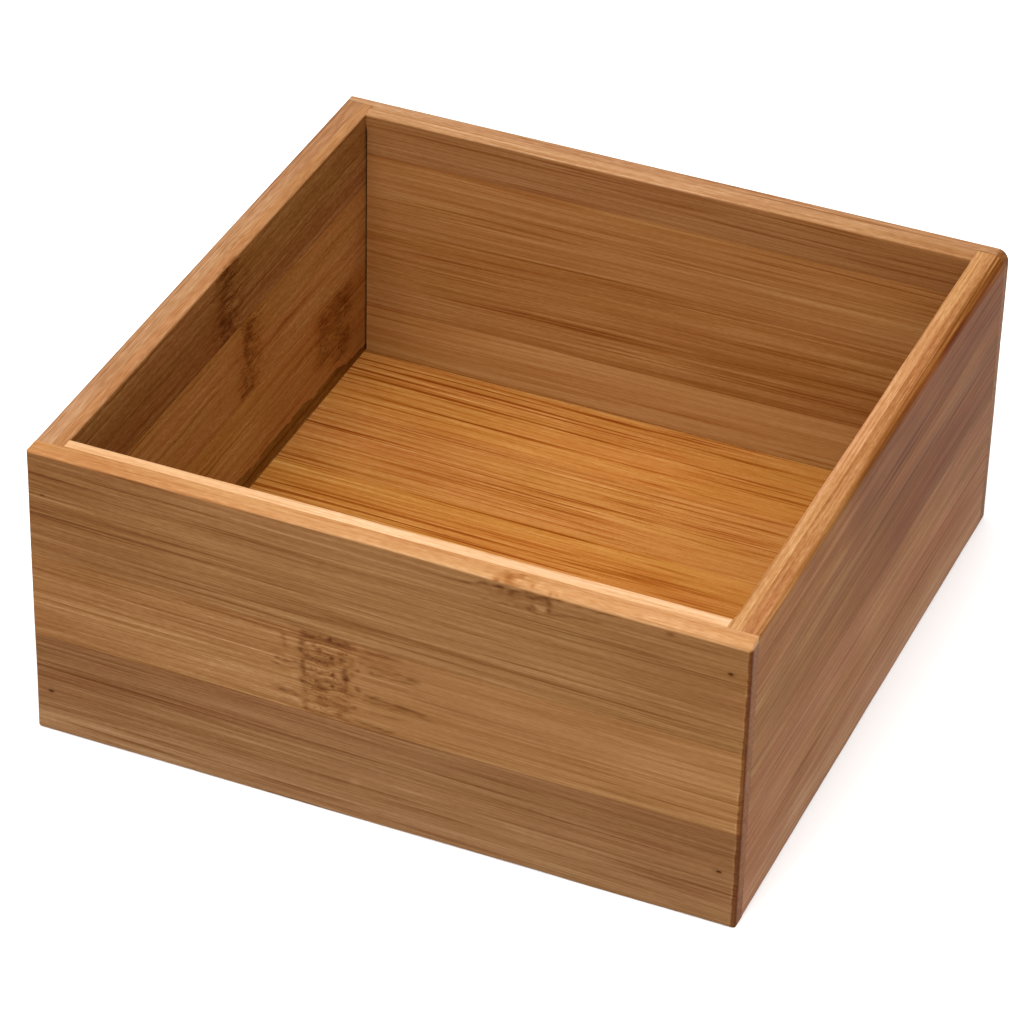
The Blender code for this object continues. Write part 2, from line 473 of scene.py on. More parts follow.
def end_board_rings(section, lip, places):
    """The section of an end board carried from its left to its right end, by places along X.

    Beyond the shoulders the depth is held at the lip's. At both ends the lip is closed by rings
    that are drawn in towards its middle on every side.
    """
    def ring(x, carried):
        return np.column_stack([np.full(len(carried), x), carried])

    shoulder = side_inside + lap
    middle = np.array([lip / 2, rim / 2])
    lip_section = np.column_stack([np.minimum(section[:, 0], lip), section[:, 1]])
    closing = [middle + (lip_section - middle) * (1.0 - drawn_in / middle)
               for drawn_in in (1.4, 1.1, 0.8, 0.6, 0.4, 0.3, 0.2, 0.1)]
    rings = [ring(-half_width, drawn) for drawn in closing]
    for low, high, carried in ((-half_width, -shoulder, lip_section), (-shoulder, shoulder, section),
                               (shoulder, half_width, lip_section)):
        inside = places[(places > low + 0.04) & (places < high - 0.04)]
        rings += [ring(x, carried) for x in (low, *inside, high)]
    rings += [ring(half_width, drawn) for drawn in closing[::-1]]
    return np.stack(rings)


def brad_places(end):
    """Where the brads of one end board were driven, as (x, z)."""
    boxes = [corners_of(f"brad_{end}_{side}_{height}") for side in ("left", "right")
             for height in ("upper", "lower")]
    return [((low[0] + high[0]) / 2, (low[2] + high[2]) / 2) for low, high in boxes]


def brad_pits(along, across, depth, brads):
    """Where a brad was driven: how much a point of the outer face is in the slot that its head left,
    an oval along the fibres, and how much it is in the darker wood around it."""
    slot, bruise = np.zeros_like(along), np.zeros_like(along)
    for x, z in brads:
        off = np.hypot((along - x) / 0.45, (across - z) / 0.27)
        slot = np.maximum(slot, 1.0 - rise(0.75, 1.2, off))
        bruise = np.maximum(bruise, bell(off, 1.8))
    on_face = depth < 0.3
    return slot * on_face, bruise * on_face


front_brads = brad_places("front")
front_layer = 4.1
front_round_left, front_round_right = 0.6, 1.6
front_seams = [(23.5, -0.004), (43.2, -0.005)]
front_inner_seams = [(22.8, -0.004), (44.7, 0.003)]


def front_rounding(x):
    """How far the outer edge of the rim was sanded round: little at the left, much at the right."""
    return front_round_left + (front_round_right - front_round_left) * rise(-2, 45, x)


def front_glue_line(x):
    """How deep the glue line between the layers lies: the layers taper from left to right."""
    return front_layer - 0.2 * x / half_width


front_section = board_outline(
    wall_thickness, front_layer, 1.2, 2.5,
    [(z, 0.8, 0.13) for x, z in front_brads] + [(33.5, 10.8, 0.23), (65.5, 3.8, 0.24)], [(0.0, 1.6, 0.18)])
front_places = spaced(-half_width, half_width, 1.3, [
    (-half_width, 1.2, 0.1), (half_width, 1.6, 0.1), (-13.0, 10.0, 0.28), (30.0, 8.5, 0.35),
    (59.8, 1.4, 0.3)] + [(x, 0.9, 0.13) for x, z in front_brads])
front_rings = end_board_rings(front_section, front_lip, front_places)
x, depth, z = (front_rings[..., axis] for axis in range(3))
in_body = (np.abs(x) < side_inside) & (z > rim * 0.9)
front_rings[..., 1] = depth + in_body * (front_glue_line(x) - front_layer) * np.interp(
    depth, [0.0, front_layer, wall_thickness], [0.0, 1.0, 0.0])
wear = arris * (1.0 + 0.35 * drift(x / 11, z / 13, 11))
outer_top = (depth < wall_thickness / 2) & (z > rim / 2)
front_wear = np.where(outer_top, front_rounding(x) * (1.0 + 0.1 * drift(x / 13, z / 500, 13)), wear)
front_rings = eased(front_rings, [1, 2], (0.0, 0.0), (wall_thickness, rim), front_wear)
chipped = 1.0 + 0.45 * drift(z / 1.9, x / 500, 12)
front_rings = eased(front_rings, [0, 1], (-half_width, 0.0), (half_width, wall_thickness),
                    np.where(x > 0.0, 0.75 * chipped, wear))
front_rings = eased(front_rings, [0, 2], (-half_width, 0.0), (half_width, rim),
                    np.where((x > 0.0) & (z < rim / 2), 0.4 * wear, wear))
front_rings[..., 1] = -half_depth + front_rings[..., 1]
front_mesh = skin("front_board_bamboo", front_rings)

front_node = [
    (-16.9, 43.2, -5.0, 42.7, 0.11, 0.75), (-15.0, 41.9, -6.0, 41.6, 0.08, 0.55),
    (-16.0, 40.7, -6.0, 40.6, -0.05, 0.35), (-16.2, 39.2, -7.0, 38.6, 0.12, 0.42),
    (-12.4, 39.8, -8.2, 39.1, -0.09, 0.24), (-11.5, 37.8, -9.0, 37.6, -0.07, 0.22),
    (-16.4, 36.9, -9.2, 36.9, 0.15, 0.62), (-15.8, 35.4, -10.0, 35.3, -0.04, 0.45),
    (-16.2, 34.2, -9.7, 34.2, 0.19, 0.34), (-15.8, 33.5, -8.4, 33.2, -0.1, 0.26),
    (-16.2, 32.4, -8.0, 32.6, 0.15, 0.42), (-16.4, 30.9, -12.5, 30.2, 0.14, 0.5),
    (-12.5, 30.2, -7.0, 31.2, 0.13, 0.45), (-13.0, 28.2, -8.6, 27.8, 0.1, 0.5),
    (-10.5, 27.0, -4.6, 27.6, 0.12, 0.45), (-15.6, 27.5, -12.6, 27.2, -0.04, 0.6),
    (-15.0, 25.3, -9.6, 25.5, -0.06, 0.8), (-15.8, 24.4, -6.0, 24.1, 0.08, 0.4),
    (-16.4, 43.6, -16.1, 41.6, 0.1, 0.7), (-16.6, 41.0, -16.9, 37.8, 0.19, 0.68),
    (-16.3, 36.4, -16.2, 33.0, 0.15, 0.7), (-16.9, 31.6, -16.0, 30.2, 0.14, 0.6),
    (-15.9, 29.2, -16.3, 27.6, 0.09, 0.75), (-16.3, 26.4, -15.7, 24.2, 0.08, 0.62),
    (-7.5, 39.6, -7.9, 37.8, 0.13, 0.5), (-7.4, 36.6, -6.9, 33.4, 0.2, 0.6),
    (-8.0, 33.0, -6.4, 29.6, 0.08, 0.55), (-22.5, 34.9, -17.0, 34.8, 0.12, 0.38),
    (-23.0, 36.3, -20.0, 36.1, 0.07, 0.35), (-23.0, 33.4, -17.2, 33.3, 0.09, 0.3),
    (-22.6, 34.1, -17.2, 34.0, -0.05, 0.25), (-23.2, 27.7, -16.8, 27.3, 0.13, 0.42),
    (-22.0, 26.0, -17.0, 26.1, -0.06, 0.3), (-22.8, 25.2, -17.0, 25.0, 0.06, 0.4),
    (-20.5, 41.2, -20.1, 38.2, 0.07, 0.55), (-3.2, 42.5, 4.5, 42.3, 0.09, 0.35),
    (-4.4, 40.6, 3.0, 40.3, 0.05, 0.4), (-4.0, 39.0, 9.0, 38.5, 0.11, 0.35),
    (-2.0, 37.5, 8.0, 37.4, 0.11, 0.3), (-5.0, 33.0, -3.8, 32.0, 0.1, 0.5),
    (-3.0, 31.7, 10.0, 30.7, 0.12, 0.35), (-3.4, 30.4, 12.0, 29.8, 0.07, 0.35),
    (-3.0, 27.6, 7.0, 28.2, 0.06, 0.35), (-5.8, 25.0, -1.0, 24.3, 0.08, 0.35),
    (-1.0, 24.3, 3.6, 24.2, 0.12, 0.3)]
front_specks = [
    (-10.4, 42.9, 0.34, 0.42), (-10.1, 38.3, 0.34, 0.34), (-9.8, 34.4, 0.26, 0.3),
    (-9.9, 31.6, 0.34, 0.36), (-13.3, 31.7, 0.26, 0.42), (-4.5, 37.1, 0.24, 0.32)]
front_rim_specks = [
    (31.5, 0.8, 0.34, 0.36), (31.2, 3.6, 0.15, 0.26), (35.3, 0.3, 0.26, 0.3), (36.5, 0.4, 0.22, 0.26),
    (24.4, 0.4, 0.14, 1.1), (27.0, 1.9, 0.12, 1.0), (22.0, 2.0, 0.07, 1.2), (29.4, 0.6, 0.12, 0.6),
    (27.8, 0.7, -0.1, 0.45), (32.8, 1.6, -0.09, 0.7), (34.2, 0.8, -0.06, 0.5), (37.0, 1.0, -0.08, 0.6)]
front_top_node = [
    (9.0, 65.2, 19.0, 65.8, 0.06, 0.24), (17.0, 65.7, 26.0, 66.7, 0.12, 0.28),
    (21.0, 66.6, 27.0, 67.0, 0.08, 0.3), (24.6, 66.6, 29.4, 66.4, 0.19, 0.48),
    (26.6, 65.9, 29.2, 65.9, 0.07, 0.45), (29.4, 66.4, 35.0, 66.6, 0.2, 0.5),
    (30.4, 66.3, 33.4, 66.3, 0.09, 0.5), (22.0, 66.1, 36.0, 66.1, 0.04, 1.00),
    (22.5, 67.4, 29.5, 67.2, -0.1, 0.3), (33.6, 66.7, 37.4, 67.2, 0.15, 0.4),
    (35.0, 66.6, 35.5, 63.6, 0.11, 0.46), (32.2, 64.9, 34.6, 64.0, -0.11, 0.8),
    (31.2, 64.2, 32.8, 63.6, 0.07, 0.55), (29.6, 65.0, 31.6, 64.7, -0.05, 0.6),
    (21.0, 62.7, 31.4, 63.2, 0.09, 0.28), (31.0, 63.1, 33.0, 62.7, 0.09, 0.32),
    (32.8, 62.7, 40.7, 64.4, 0.08, 0.32), (40.0, 64.3, 47.5, 65.0, 0.08, 0.34),
    (37.0, 67.0, 50.0, 66.9, 0.12, 0.26), (23.0, 64.5, 28.5, 64.7, 0.05, 0.4)]


def front_marks(x, z, on_face):
    """The stains, with painted shade towards the left end, and the shade of the marks on the front
    board's outer face, strip by strip from its foot to its rim, and how much each point is in a node.
    A speck is (along, up, darkness, half width)."""
    foot = 1.0 - rise(22.8, 24.2, z + 0.004 * x)
    crown = rise(42.5, 43.9, z + 0.005 * x)
    middle = (1.0 - foot) * (1.0 - crown)
    # Painted shade: the terms in left darken the face towards its left end.
    left, right = rise(-30, -70, x), rise(30, 70, x)
    stain = foot * (0.04 * left - 0.11 * rise(13, 2, z) * (1.0 + 0.7 * left - 0.4 * right)
                    + 0.02 * rise(12, 20, z) - 0.04 * rise(6, 11, z) * bell(x - 5, 30)
                    + 0.05 * rise(14, 18, z) * right)
    stain += crown * (0.08 * left + 0.05 * right - 0.02 * bell(x - 5, 35)
                      - between(43.6, 52, 3, z) * (0.03 + 0.055 * rise(-40, 65, x))
                      + 0.02 * left * rise(50, 54, z))
    stain += middle * (0.04 * left - 0.03 * rise(10, 30, x))
    stain += 0.1 * bell(z - 14.7 - 0.01 * (x + 60), 0.6) * bell(x + 60, 20)
    stain += (0.35 * spot(x, z, 0.3, 2.3, 0.8, 0.4) - 0.1 * spot(x, z, -5.0, 9.2, 1.1, 1.1)
              + 0.22 * spot(x, z, 59.8, 66.4, 0.8, 0.5))

    beside = rise(-17.2, -18.2, x) + rise(-5.8, -4.8, x)
    marks = middle * (1.9 + 1.1 * beside) * strokes(x, z, front_node, 23)
    marks += crown * 2.1 * strokes(x, z, front_top_node, 25)
    for place, height, dark, size in front_specks:
        marks += 1.8 * dark * spot(x, z, place, height, size, size)
    crumbs = rise(0.1, 0.7, drift(x / 1.4, z / 0.9, 36))
    stain += middle * 0.16 * crumbs * (between(-15.8, -5, 2, x) - 0.4 * between(-23, -17, 2, x))
    fan = bell(x - 3, 9) * (0.4 * bell(z - 33, 3.5) + 0.6 * between(25, 41, 4, z))
    spread = (z - 33) * (1.0 + 0.006 * np.clip(10 - x, 0, 20))
    stain += middle * fan * 0.11 * drift(x / 18, spread / 0.6, 27)
    node = middle * between(-16.2, -6, 1, x) + 0.3 * crown * between(24, 35.5, 4, x) * rise(62, 64.5, z)
    shade = (0.5 - 0.15 * crown) * np.clip(marks, 0.0, 1.0)
    return (stain + (0.65 + 0.1 * crown) * marks) * on_face, shade * on_face, node * on_face


def grow_front(mesh):
    """The grain of the front board, its seams, its nodes and its pits, on the mesh's own points."""
    x, y, z = places_of(mesh).T
    depth = y + half_depth
    outer = (depth < front_glue_line(x) - hairline / 2) | (np.abs(x) > side_inside + lap / 2)
    number = strip_number(x, z, outer, front_seams, front_inner_seams)
    on_rim = np.where(depth < wall_thickness / 2, rim_mask(z, front_rounding(x)), rim_mask(z))
    on_face = face_mask(depth, 1.6) * (1.0 - on_rim)
    stain, shade, node = front_marks(x, z, on_face)
    slot, bruise = brad_pits(x, z, depth, front_brads[1:])
    filled, round_it = brad_pits(x, z, depth, front_brads[:1])
    stain += 0.2 * bruise + 0.5 * slot + 0.2 * filled + 0.06 * round_it
    worn = half_width - np.interp(z, [0.0, rim], [0.95, 0.55]) + 0.14 * drift(z / 1.1, 0 * x, 28)
    dark_edge = rise(worn - 0.12, worn + 0.12, x) * rise(1.1, 0.6, depth)
    chips = bell(x - worn + 0.22, 0.18) * np.clip(drift(z / 1.6, 0 * x, 29), 0.0, 1.0)
    stain += (0.36 * dark_edge - 0.16 * chips) * (1.0 - on_rim)
    # On the inner layer's rim this darkens towards the left, so the painted highlight on that rim brightens
    # to the right.
    stain += on_rim * np.where(outer, 0.15 * rise(-30, -62, x), 0.19 * rise(0, -55, x) + 0.02)
    node_rim = on_rim * bell(x - 27.5 - 0.9 * (depth - 2.0), 3.2) * rise(4.4, 2.0, depth)
    stain += 0.2 * node_rim * (1.0 + 2.0 * drift(x / 1.1, depth / 0.6, 30))
    for place, into, dark, size in front_rim_specks:
        stain += dark * spot(x, depth, place, into, size, size) * on_rim
    end = rise(half_width - 0.3, half_width - 0.1, np.abs(x)) * (1.0 - on_rim)
    stain += 0.1 * end * rise(1.6, 0.6, depth)
    shift_along, shift_across = stray_fibres(x, z, -11, 7.5, 21)
    slope = 0.02 * x - 0.008 * np.clip(x - 40, 0, None) * (z > 24)
    sway = 0.4 * drift(x / 55, z / 20, 24)
    grain = np.column_stack([x + shift_along * node, z + slope + sway + shift_across * node, depth])
    busy = np.interp(x, [-30, 10], [1.15, 0.9]) + 0.25 * between(24.2, 43, 2, z) * rise(0, -20, x)
    busy += on_rim * (0.85 - busy)
    store(mesh, grain=grain, strip=number, stain=stain, shade=shade, node=node, rim=on_rim, end=end,
          busy=busy)
    relief = planed_relief(x, z + depth, number, 31)
    raise_relief(mesh, relief - 0.62 * slot - 0.04 * rise(0.08, 0.2, stain) * on_face)


grow_front(front_mesh)
# Rim colour 8 is the inner layer's paler tone with a painted highlight on its sanded inner edge.
front_bamboo = bamboo("front_bamboo", faces={
    0: (0.166, 0.076, 0.0285), 1: (0.203, 0.092, 0.031), 2: (0.178, 0.081, 0.027),
    8: (0.3, 0.15, 0.05)}, rims={0: (0.362, 0.18, 0.0715), 8: (0.51, 0.312, 0.168)},
    ends=(0.18, 0.072, 0.026), seed=1)
stand_for("front_board", front_mesh, front_bamboo)


# The back board, cut and jointed like the front one. Its inner layer was cut a little short at the
# left, which leaves a dark open line in the corner, and its right end was sanded round at the rim
# together with the side board's.
back_brads = brad_places("back")
back_seams = [(23.2, -0.006), (45.0, 0.01)]
back_inner_seams = [(19.3, 0.001), (40.5, 0.0), (58.8, 0.0)]
back_layer = 3.6
rounding = 2.7
back_section = board_outline(wall_thickness, back_layer, 1.3, 0.8, [(z, 1.1, 0.14) for x, z in back_brads],
                             [(0.0, 3.0, 0.2)])
back_places = spaced(-half_width, half_width, 0.95, [(-half_width, 0.6, 0.1), (half_width, 3.2, 0.16)]
                     + [(x, 1.1, 0.14) for x, z in back_brads])
back_rings = end_board_rings(back_section, back_lip, back_places)
x, depth, z = (back_rings[..., axis] for axis in range(3))
wear = arris * (1.0 + 0.35 * drift(x / 12, z / 14, 41))
outer_top = (depth < wall_thickness / 2) & (z > rim / 2)
back_wear = np.where(outer_top, 0.9 - 0.5 * x / half_width, wear)
back_rings = eased(back_rings, [1, 2], (0.0, 0.0), (wall_thickness, rim), back_wear)
back_rings = eased(back_rings, [0, 1], (-half_width, 0.0), (half_width, wall_thickness), wear)
back_rings = eased(back_rings, [0, 2], (-half_width, 0.0), (half_width, rim),
                   np.where((x > 0.0) & (z > rim / 2), rounding, wear))
opened = (x < 0.0) & (np.abs(np.abs(x) - side_inside) < 2 * lap)
back_rings[..., 0] += opened * (lap + 0.35) * (1.0 - rise(rim - 5, rim - 1, z))
back_rings[..., 1] = half_depth - back_rings[..., 1]
back_mesh = skin("back_board_bamboo", back_rings)


def flecks(along, across, region, count, seed, length, width):
    """Dark fibre ends in a node: bell-shaped flecks, longer along the fibres, strewn over a region
    (lowest and highest along, lowest and highest across); the darkest at each point counts."""
    random = np.random.default_rng(seed)
    dark = np.zeros_like(along)
    for a, b, c, d, e in random.uniform(size=(count, 5)):
        place = region[0] + a * (region[1] - region[0])
        height = region[2] + b * (region[3] - region[2])
        fleck = spot(along, across, place, height, length * (0.4 + c), width * (0.6 + 0.8 * d))
        dark = np.maximum(dark, (0.35 + 0.65 * e) * fleck)
    return dark


def grow_back(mesh):
    """The grain of the back board, its seams, and on its inner face two dark lines that slope across,
    as (height, slope, darkness), a painted shadow along the floor near both corners, and painted shade
    in its lower corners. Its node lies on the outer face, away from the photo."""
    x, y, z = places_of(mesh).T
    depth = half_depth - y
    outer = depth < back_layer - hairline / 2
    number = strip_number(x, z, outer, back_seams, back_inner_seams)
    on_face = face_mask(depth, 1.6) * (1.0 - rim_mask(z))
    inner_face = face_mask(wall_thickness - depth) * (1.0 - rim_mask(z))
    in_strip = between(1.0, 2.0, 0.03, number) * on_face
    stain = 0.45 * in_strip * flecks(x, z, (25, 35, 24, 45), 40, 52, 1.2, 0.3)
    ragged = np.clip(0.55 + 0.6 * drift(z / 1.9, x / 3.0, 56), 0.0, 1.2)
    stain += 0.18 * in_strip * ragged * bell(x - 35.2 - 0.4 * drift(z / 2.5, 0 * x, 53), 0.6)
    for height, slope, dark in ((56.9, -0.0244, 0.13), (25.8, -0.0458, 0.12)):
        stain += dark * bell(z - height - slope * x, 0.28) * inner_face
    # Painted shadow: a dark line along the floor near both corners of the inner face.
    in_shade = rise(-15, -50, x) + rise(30, 60, x)
    stain += 0.28 * in_shade * bell(z - groove_top, 0.5) * inner_face
    slot, bruise = brad_pits(x, z, depth, back_brads)
    stain += 0.25 * bruise + 0.6 * slot
    rounded = rise(half_width - rounding, half_width - 0.6 * rounding, x) * rise(rim - 3, rim - 2, z)
    stain += 0.12 * rounded * (1.0 + drift(depth / 1.2, x / 0.5, 55))
    stain += 0.06 * rise(2.2, 0.4, depth) * rise(rim - 1.2, rim - 0.4, z)
    # Painted shade: the terms that darken the lowest strip towards both ends, most at the right, stand for
    # the shade in the corners.
    stain += inner_face * (0.12 * rise(-40, -65, x) * (z < 19.3) + 0.27 * rise(42, 62, x) * (z < 19.3)
                           - 0.04 * bell(x + 8, 18) * rise(14, 11, z)
                           + 0.1 * rise(0, 20, x) * between(19.3, 30, 1, z)
                           + 0.08 * rise(45, 60, x) * between(19.3, 40.5, 1, z)
                           + 0.03 * rise(-30, -60, x) * between(29, 40.5, 1, z)
                           + 0.1 * rise(20, 60, x) * rise(56, 62, z))
    on_rim = rim_mask(z) * (1.0 - rounded)
    stain += on_rim * np.where(outer, -0.09 * rise(-45, -62, x),
                               0.1 * rise(40, 60, x) - 0.08 * between(-55, 15, 20, x))
    end = rise(half_width - 0.3, half_width - 0.1, np.abs(x))
    shift_along, shift_across = stray_fibres(x, z, 30, 6, 51)
    sway = 0.6 * drift(x / 60, z / 18, 54)
    grain = np.column_stack([x + shift_along * in_strip, z + sway + shift_across * in_strip, depth])
    node = in_strip * between(24, 35.2, 2, x)
    busy = 1.15 + 0.2 * (z > 19.3) * (z < 40.5)
    busy = (busy + on_rim * (1.05 + 0.2 * outer - busy)) * (1.0 - 0.45 * end)
    store(mesh, grain=grain, strip=number, stain=stain, node=node, rim=on_rim, end=end, busy=busy)
    raise_relief(mesh, planed_relief(x, z + depth, number, 61) - 0.62 * slot)


grow_back(back_mesh)
back_bamboo = bamboo("back_bamboo", faces={
    0: (0.18, 0.077, 0.025), 1: (0.205, 0.09, 0.029), 2: (0.19, 0.082, 0.026),
    8: (0.38, 0.182, 0.058), 9: (0.311, 0.136, 0.039), 10: (0.305, 0.132, 0.0395),
    11: (0.256, 0.111, 0.037)},
    rims={0: (0.284, 0.141, 0.063), 8: (0.29, 0.141, 0.059)}, ends=(0.18, 0.078, 0.029), seed=2,
    fibre_run=32.0)
stand_for("back_board", back_mesh, back_bamboo)


# The two side boards. Quarter-inch pressed bamboo, cut square and stood between the lips of the end
# boards, where glue and two brads at each end hold them. The floor panel sits in their groove too.
side_thickness = side_high[0] - side_low[0]
side_front, side_back = front_lip - lap - half_depth, half_depth - back_lip + lap
side_layer = 3.8


def side_board_rings(section, step, close=()):
    """The section of a side board carried from front to back: (depth, place along Y, height)."""
    return np.stack([np.column_stack([section[:, 0], np.full(len(section), y), section[:, 1]])
                     for y in spaced(side_front, side_back, step, close)])


def eased_side(rings, rim_radius, seed):
    """The long edges sanded round, the outer one of the rim to a radius of its own, and the inner one
    only between the end boards."""
    depth, y, z = (rings[..., axis] for axis in range(3))
    clear = rise(side_front + 3.4, side_front + 4.4, y) * rise(side_back - 4.0, side_back - 5.0, y)
    inner_rim = (depth > side_thickness / 2) & (z > rim / 2)
    outer_rim = (depth < side_thickness / 2) & (z > rim / 2)
    wear = arris * (1.0 + 0.35 * drift(y / 12, z / 30, seed)) * np.where(inner_rim, 0.1 + 0.9 * clear, 1.0)
    return eased(rings, [0, 2], (0.0, 0.0), (side_thickness, rim), np.where(outer_rim, rim_radius, wear))


left_upper_node = [
    (-4.0, 66.0, -2.5, 58.5, 0.04, 1.7), (-3.8, 59.5, -1.0, 53.5, 0.13, 1.6),
    (-1.5, 56.5, 1.5, 53.0, 0.12, 1.1), (0.6, 54.6, 3.4, 51.2, 0.14, 0.9),
    (-3.0, 62.3, 3.6, 58.6, 0.08, 0.6), (2.4, 61.6, 4.4, 60.0, 0.15, 0.6),
    (6.8, 62.6, 10.5, 62.0, 0.12, 0.6), (6.6, 65.8, 8.4, 64.6, 0.08, 0.8),
    (7.0, 59.5, 10.0, 59.0, 0.07, 0.6), (7.0, 56.5, 9.5, 56.0, 0.07, 0.6),
    (7.0, 54.3, 10.0, 54.0, 0.08, 0.5), (1.8, 57.2, 3.0, 53.8, -0.08, 0.8),
    (4.8, 57.5, 6.6, 54.5, -0.07, 0.8)]
left_middle_node = [
    (6.8, 48.2, 10.0, 47.8, 0.16, 0.7), (9.8, 49.0, 13.5, 48.0, 0.14, 0.6),
    (13.2, 48.2, 17.6, 47.4, 0.14, 0.5), (8.2, 47.6, 10.8, 45.0, 0.14, 0.8),
    (9.0, 45.0, 9.4, 39.2, 0.14, 0.9), (10.6, 46.6, 12.0, 43.6, 0.12, 0.7),
    (11.0, 43.4, 15.2, 42.8, 0.17, 0.6), (14.0, 44.2, 17.6, 43.8, 0.12, 0.4),
    (11.5, 40.6, 13.6, 39.4, 0.16, 0.7), (14.4, 41.0, 17.2, 40.4, 0.1, 0.5),
    (13.8, 38.0, 16.6, 38.2, 0.1, 0.4), (7.4, 38.0, 8.2, 33.6, 0.09, 0.8),
    (10.8, 35.2, 12.8, 35.0, 0.18, 0.6), (13.2, 36.6, 16.4, 35.4, 0.11, 0.5),
    (6.2, 32.0, 9.4, 31.6, 0.15, 0.6), (9.8, 32.2, 12.4, 31.6, 0.2, 0.6),
    (8.6, 33.8, 12.0, 33.6, 0.09, 0.4), (12.4, 46.0, 16.0, 45.6, -0.07, 0.5),
    (10.4, 38.4, 12.6, 37.2, -0.06, 0.6)]
left_seam, left_high_seam = 30.5, 50.5
left_inner_seams = [(left_seam, 0.0), (left_high_seam, 0.0)]
left_outer_seams = [(22.5, 0.008), (44.5, -0.006)]
left_rings = side_board_rings(board_outline(side_thickness, side_layer, 1.6, 0.45), 0.9,
                              [(5, 12, 0.42), (50, 10, 0.6)])
left_wear = arris * (1.5 - 0.5 * rise(-70, 20, left_rings[..., 1]))
left_rings = eased_side(left_rings, left_wear, 71)
left_rings[..., 0] = -half_width + left_rings[..., 0]
left_mesh = skin("left_side_board_bamboo", left_rings)


def grow_left(mesh):
    """The grain of the left board: two dark nodes and a darker patch inside, a dark foot that widens
    to the front, which is a darker strip with painted shade over the floor, and on the rim a glue line
    and a swirl where the upper node comes out."""
    x, y, z = places_of(mesh).T
    depth = x + half_width
    outer = depth < side_layer - hairline / 2
    number = strip_number(y, z, outer, left_outer_seams, left_inner_seams)
    inner_face = face_mask(side_thickness - depth)
    # The dark foot: a darker strip with painted shade where the wall meets the floor; below this height the
    # inner face takes colour 11.
    stained_and_shaded_foot = 11.8 - rise(26, 50, y) - 2.6 * rise(50, 69, y) + 0.4 * drift(y / 4.2, 0 * z, 96)
    off_face = 1000.0 * (1.0 - inner_face)
    number = np.where(z < stained_and_shaded_foot - off_face, 11.5, number)
    on_rim = rim_mask(z)
    stain, shade, node = np.zeros((3, len(y)))
    for marks, middle, reach, foot, top in ((left_upper_node, 1.0, 6.5, left_high_seam, rim),
                                            (left_middle_node, 10.8, 5.8, left_seam, left_high_seam)):
        in_node = between(foot, top, 0.6, z) * inner_face
        cloud, core = bell(y - middle, reach), bell(y - middle + 1.4, 0.65 * reach)
        ripple = drift(y / 2.1, z / 0.95 + y / 6, 90)
        stroke = strokes(y, z, marks, 88)
        stain += in_node * (0.95 * stroke + 0.02 * cloud + 0.16 * cloud * ripple + 0.1 * core)
        shade += in_node * np.clip(0.38 * stroke + core * (0.11 + 0.09 * ripple), 0.0, 1.0)
        node = np.maximum(node, 2.4 * in_node * cloud)
    feathers = 0.08 + 0.12 * drift(y / 2.6, z + y / 5.5, 95)
    patch = bell(y - 47.5, 4.2) * between(16, left_seam, 3, z)
    patch = (patch + 1.2 * bell(y - 57, 5) * between(12.5, left_seam, 2, z)) * inner_face
    stain += patch * feathers
    shade += patch * (0.13 + 0.3 * feathers)
    node = np.maximum(node, 1.9 * patch)
    low_strip, high_strip = z < left_seam, z > left_high_seam
    tones = low_strip * (-0.09 * bell(y - 4, 12) * bell(z - 19, 8) + 0.05 * rise(40, 60, y))
    tones -= 0.04 * ~(low_strip | high_strip) * rise(24, 32, y)
    tones += high_strip * (0.14 * rise(2, -8, y) * rise(62.5, 59, z)
                           + 0.08 * rise(20, 60, y) * rise(58, 64, z))
    stain += tones * inner_face * (1.0 - on_rim)
    swirl = spot(y, depth, 9.0, 3.8, 4.5, 1.4)
    arcs = np.hypot((y - 9.0) / 2.6, depth - 3.8)
    stain += on_rim * (0.08 * swirl * (1.0 + np.cos(arcs / 0.22)) + 0.05 * bell(depth - side_layer, 0.2)
                       + 0.06 * rise(18, 55, np.abs(y))
                       + np.where(outer, -0.12 * rise(-45, -60, y) - 0.07 * bell(y - 25, 25),
                                  0.05 * bell(y - 37, 10)))
    stain += 0.2 * rise(0.7, 0.1, depth) * rise(rim - 1.2, rim - 0.4, z)
    shift_along, shift_across = stray_fibres(y, z, 4, 8, 81)
    sway = 0.5 * drift(y / 55, z / 20, 84) + 0.22 * inner_face * drift(y / 3.4, z / 2.6, 85)
    strayed = np.clip(node, 0.0, 1.0)
    drawn_out = np.where((on_rim > 0.5) | (depth < side_thickness / 2), 0.45, 1.0)
    grain = np.column_stack([drawn_out * (y + shift_along * strayed), z + sway + shift_across * strayed,
                             depth + 0.6 * swirl * on_rim])
    store(mesh, grain=grain, strip=number, stain=stain, shade=shade, node=node, rim=on_rim,
          busy=0.85 + 0.25 * inner_face * (1.0 - on_rim))
    raise_relief(mesh, planed_relief(y, z + depth, number, 91))


grow_left(left_mesh)
# Colour 11 is the dark foot: a darker strip with painted shade over the floor.
left_bamboo = bamboo("left_bamboo", faces={
    0: (0.18, 0.077, 0.025), 1: (0.2, 0.088, 0.028), 2: (0.195, 0.084, 0.026), 8: (0.29, 0.115, 0.024),
    9: (0.292, 0.12, 0.029), 10: (0.226, 0.093, 0.0245), 11: (0.158, 0.0565, 0.0077)},
    rims={0: (0.28, 0.144, 0.065), 8: (0.288, 0.134, 0.054)}, ends=(0.18, 0.078, 0.029), seed=3,
    fibre_run=9.0, grit_depth=0.5, tint=0.005)
stand_for("left_side_board", left_mesh, left_bamboo)


def right_rounding(y):
    """How far the right rim was sanded round: from 1 mm at the front to its most at the back."""
    return 1.0 + (rounding - 1.0) * rise(-50, 73, y)


